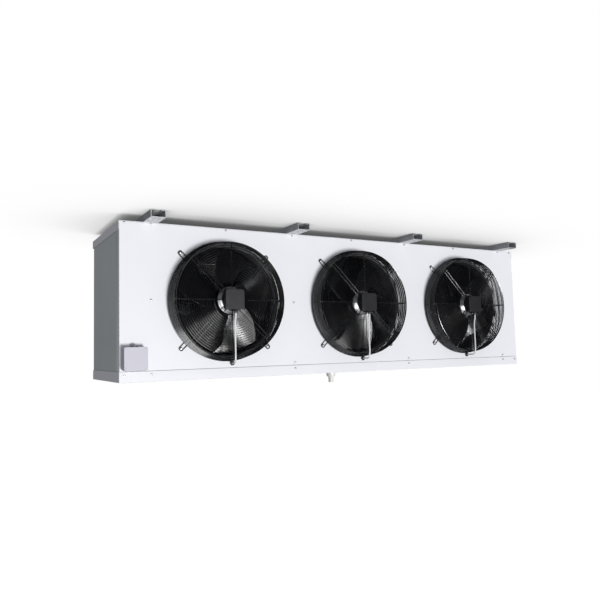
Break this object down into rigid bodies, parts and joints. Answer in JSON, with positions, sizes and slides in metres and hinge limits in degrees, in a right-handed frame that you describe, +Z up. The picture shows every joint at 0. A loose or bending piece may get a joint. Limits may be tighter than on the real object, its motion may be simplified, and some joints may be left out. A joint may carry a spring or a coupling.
{
  "type": "walk-in unit cooler",
  "caption": "Ceiling unit cooler for a cold room: long sheet metal casing with a finned coil, axial fans behind wire guards, drip tray with drain, and hanging channels.",
  "frame": {"origin": "centre of the four outer hanger slots, on the upper face of the hanging channels' webs, where the rod nuts bear", "axes": "+X along the casing to the right seen from the fan side, +Y from the fans to the coil at the back, +Z up to the ceiling"},
  "size_m": [2.433, 0.787, 0.794],
  "materials": {
    "white_paint": "white powder coat, satin",
    "grey_sheet": "mill finish sheet, dull grey",
    "tray_paint": "white powder coat, satin",
    "bracket_steel": "zinc plated sheet",
    "zinc": "bright zinc plate",
    "fin_aluminium": "mill finish aluminium fins",
    "copper": "plain copper tube, slightly dulled",
    "heater_steel": "stainless heater sheath",
    "guard_wire": "black coated wire",
    "collar_coat": "dark grey coat, satin",
    "blade_black": "black gloss coat",
    "motor_aluminium": "die cast aluminium, bright",
    "bearing_steel": "ground steel",
    "box_grey": "grey moulded plastic",
    "lead_grey": "light grey cable sheath",
    "gland_black": "black moulded plastic",
    "drain_white": "off-white moulded plastic"
  },
  "bodies": {
    "casing": {"front_panel": "white_paint", "top_panel": "white_paint", "left_end_cover": "white_paint", "right_end_cover": "white_paint", "drip_tray": "tray_paint", "drain_pan": "fin_aluminium", "drain_spigot": "drain_white", "drain_gasket": "gland_black", "drain_nut": "drain_white", "left_coil_plate": "grey_sheet", "right_coil_plate": "grey_sheet", "partition_1": "grey_sheet", "partition_2": "grey_sheet", "bracket_bolts": "zinc", "coil_fins": "fin_aluminium", "coil_tubes": "copper", "return_bends": "copper", "suction_header": "copper", "liquid_header": "copper", "defrost_heaters": "heater_steel", "junction_box": "box_grey", "junction_box_lid": "box_grey", "lid_screws": "zinc", "box_gland": "gland_black", "front_panel_screws": "zinc", "tray_screws": "zinc", "end_cover_screws": "zinc", "motor_stators": "motor_aluminium", "motor_bearings": "bearing_steel", "guard_screws": "zinc", "hanger_bracket_1": "bracket_steel", "hanger_bracket_2": "bracket_steel", "hanger_bracket_3": "bracket_steel", "hanger_bracket_4": "bracket_steel", "fan_collar_1": "collar_coat", "fan_guard_1": "guard_wire", "terminal_box_1": "box_grey", "fan_lead_1": "lead_grey", "lead_grommet_1": "gland_black", "fan_collar_2": "collar_coat", "fan_guard_2": "guard_wire", "terminal_box_2": "box_grey", "fan_lead_2": "lead_grey", "lead_grommet_2": "gland_black", "fan_collar_3": "collar_coat", "fan_guard_3": "guard_wire", "terminal_box_3": "box_grey", "fan_lead_3": "lead_grey", "lead_grommet_3": "gland_black"},
    "fan_1": {"impeller_1": "blade_black", "motor_shaft_1": "bearing_steel"},
    "fan_2": {"impeller_2": "blade_black", "motor_shaft_2": "bearing_steel"},
    "fan_3": {"impeller_3": "blade_black", "motor_shaft_3": "bearing_steel"}
  },
  "joints": [
    {"name": "fan_1_spin", "type": "hinge", "parent": "casing", "child": "fan_1", "pos_m": [-0.7345, -0.2735, -0.3465], "axis": [0, 1, 0], "continuous": true},
    {"name": "fan_2_spin", "type": "hinge", "parent": "casing", "child": "fan_2", "pos_m": [0.0105, -0.2735, -0.3465], "axis": [0, 1, 0], "continuous": true},
    {"name": "fan_3_spin", "type": "hinge", "parent": "casing", "child": "fan_3", "pos_m": [0.7555, -0.2735, -0.3465], "axis": [0, 1, 0], "continuous": true}
  ]
}
